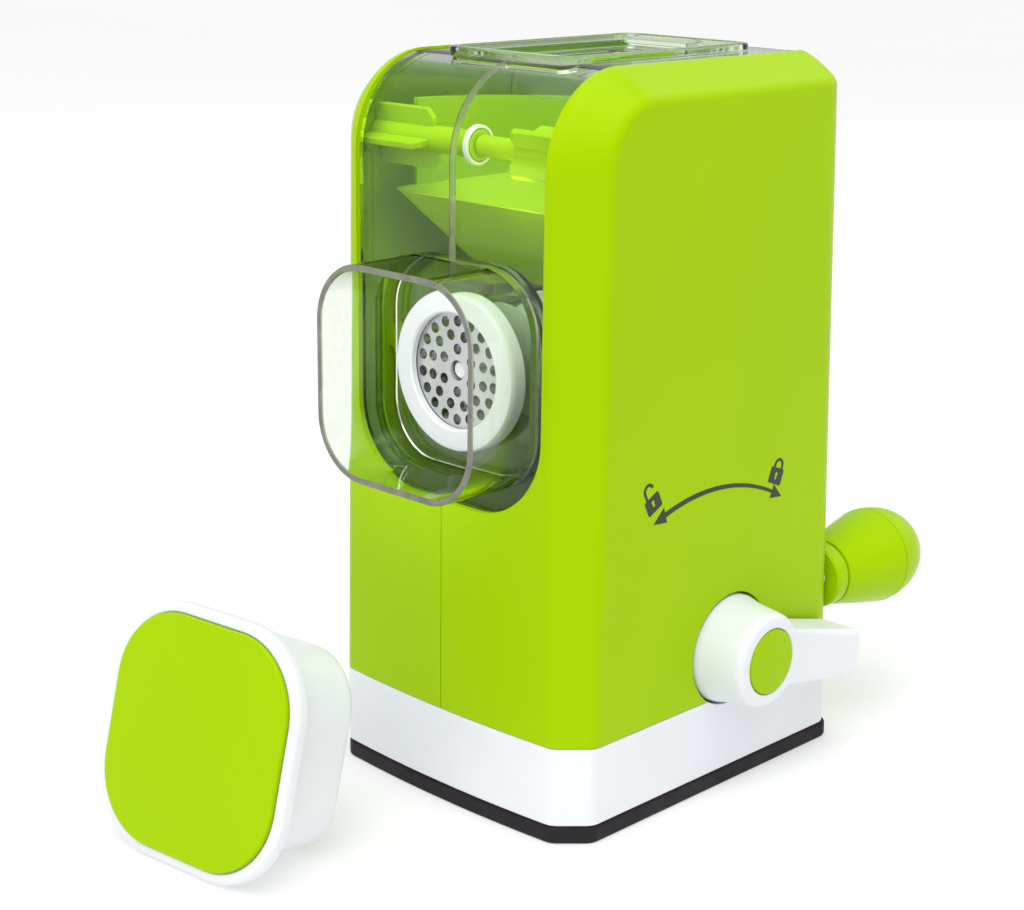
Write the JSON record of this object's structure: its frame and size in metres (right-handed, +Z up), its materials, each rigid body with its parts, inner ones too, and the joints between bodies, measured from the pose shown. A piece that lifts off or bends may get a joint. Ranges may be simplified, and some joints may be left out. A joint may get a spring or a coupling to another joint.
{
  "type": "hand crank meat grinder",
  "caption": "Upright kitchen mincer with a suction base, clear hopper and spout, side locking lever, rear hand crank and a loose outlet cap.",
  "frame": {"origin": "middle of the whole object's footprint, the loose cap included, on the surface it stands on", "axes": "+Z up; the outlet spout looks along -Y and the crank is at +Y; +X is the side with the suction lever"},
  "size_m": [0.1429, 0.2996, 0.2538],
  "materials": {
    "green_plastic": "glossy moulded lime green plastic",
    "white_plastic": "satin moulded cool white plastic",
    "clear_plastic": "clear moulded plastic, faintly grey green",
    "dark_rubber": "soft dark rubber, matt",
    "steel": "plain stainless steel"
  },
  "bodies": {
    "housing": {"suction_pad": "dark_rubber", "base_housing": "white_plastic", "cam_bracket": "white_plastic", "left_shell": "green_plastic", "right_shell": "green_plastic", "left_cover": "clear_plastic", "right_cover": "clear_plastic", "hopper_tray": "clear_plastic", "feed_funnel": "green_plastic", "auger_barrel": "clear_plastic", "outlet_spout": "clear_plastic", "outlet_ring": "white_plastic", "grinding_plate": "steel", "shaft_bush": "white_plastic", "base_screw_1": "steel", "base_screw_2": "steel", "base_screw_3": "steel", "base_screw_4": "steel", "shell_screw_1": "steel", "shell_screw_2": "steel", "shell_screw_3": "steel", "shell_screw_4": "steel"},
    "crank": {"auger": "white_plastic", "cross_blade": "steel", "crank_shaft": "steel", "crank_arm": "green_plastic", "crank_nut": "white_plastic", "knob_pin": "steel"},
    "knob": {"crank_knob": "green_plastic", "knob_end_cap": "green_plastic"},
    "paddle": {"left_paddle": "green_plastic", "right_paddle": "green_plastic", "paddle_collar": "white_plastic", "paddle_axle": "steel"},
    "lever": {"suction_lever": "white_plastic", "lever_cap": "green_plastic", "cam_shaft": "steel"},
    "plunger": {"cam_yoke": "white_plastic", "pull_stud": "steel", "suction_disc": "dark_rubber"},
    "outlet_cap": {"cap_body": "white_plastic", "cap_plate": "green_plastic"}
  },
  "joints": [
    {"name": "crank_turn", "type": "hinge", "parent": "housing", "child": "crank", "pos_m": [-0.00715, 0.087, 0.1515], "axis": [0, 1, 0], "continuous": true},
    {"name": "knob_spin", "type": "hinge", "parent": "crank", "child": "knob", "pos_m": [0.04335, 0.112, 0.0607], "axis": [0, 1, 0], "continuous": true},
    {"name": "paddle_spin", "type": "hinge", "parent": "housing", "child": "paddle", "pos_m": [-0.00715, -0.03, 0.224], "axis": [1, 0, 0], "continuous": true},
    {"name": "lever_turn", "type": "hinge", "parent": "housing", "child": "lever", "pos_m": [0.06285, 0.0321, 0.051], "axis": [1, 0, 0], "range_deg": [0, 160]},
    {"name": "plunger_slide", "type": "slide", "parent": "housing", "child": "plunger", "axis": [0, 0, 1], "range_m": [-0.004, 0]},
    {"name": "cap_lift", "type": "slide", "parent": "housing", "child": "outlet_cap", "axis": [0, 0, 1], "range_m": [0, 0.1]}
  ],
  "couplings": [
    {"joint": "plunger_slide", "follows": "lever_turn", "m_per_rad": -0.001432}
  ]
}
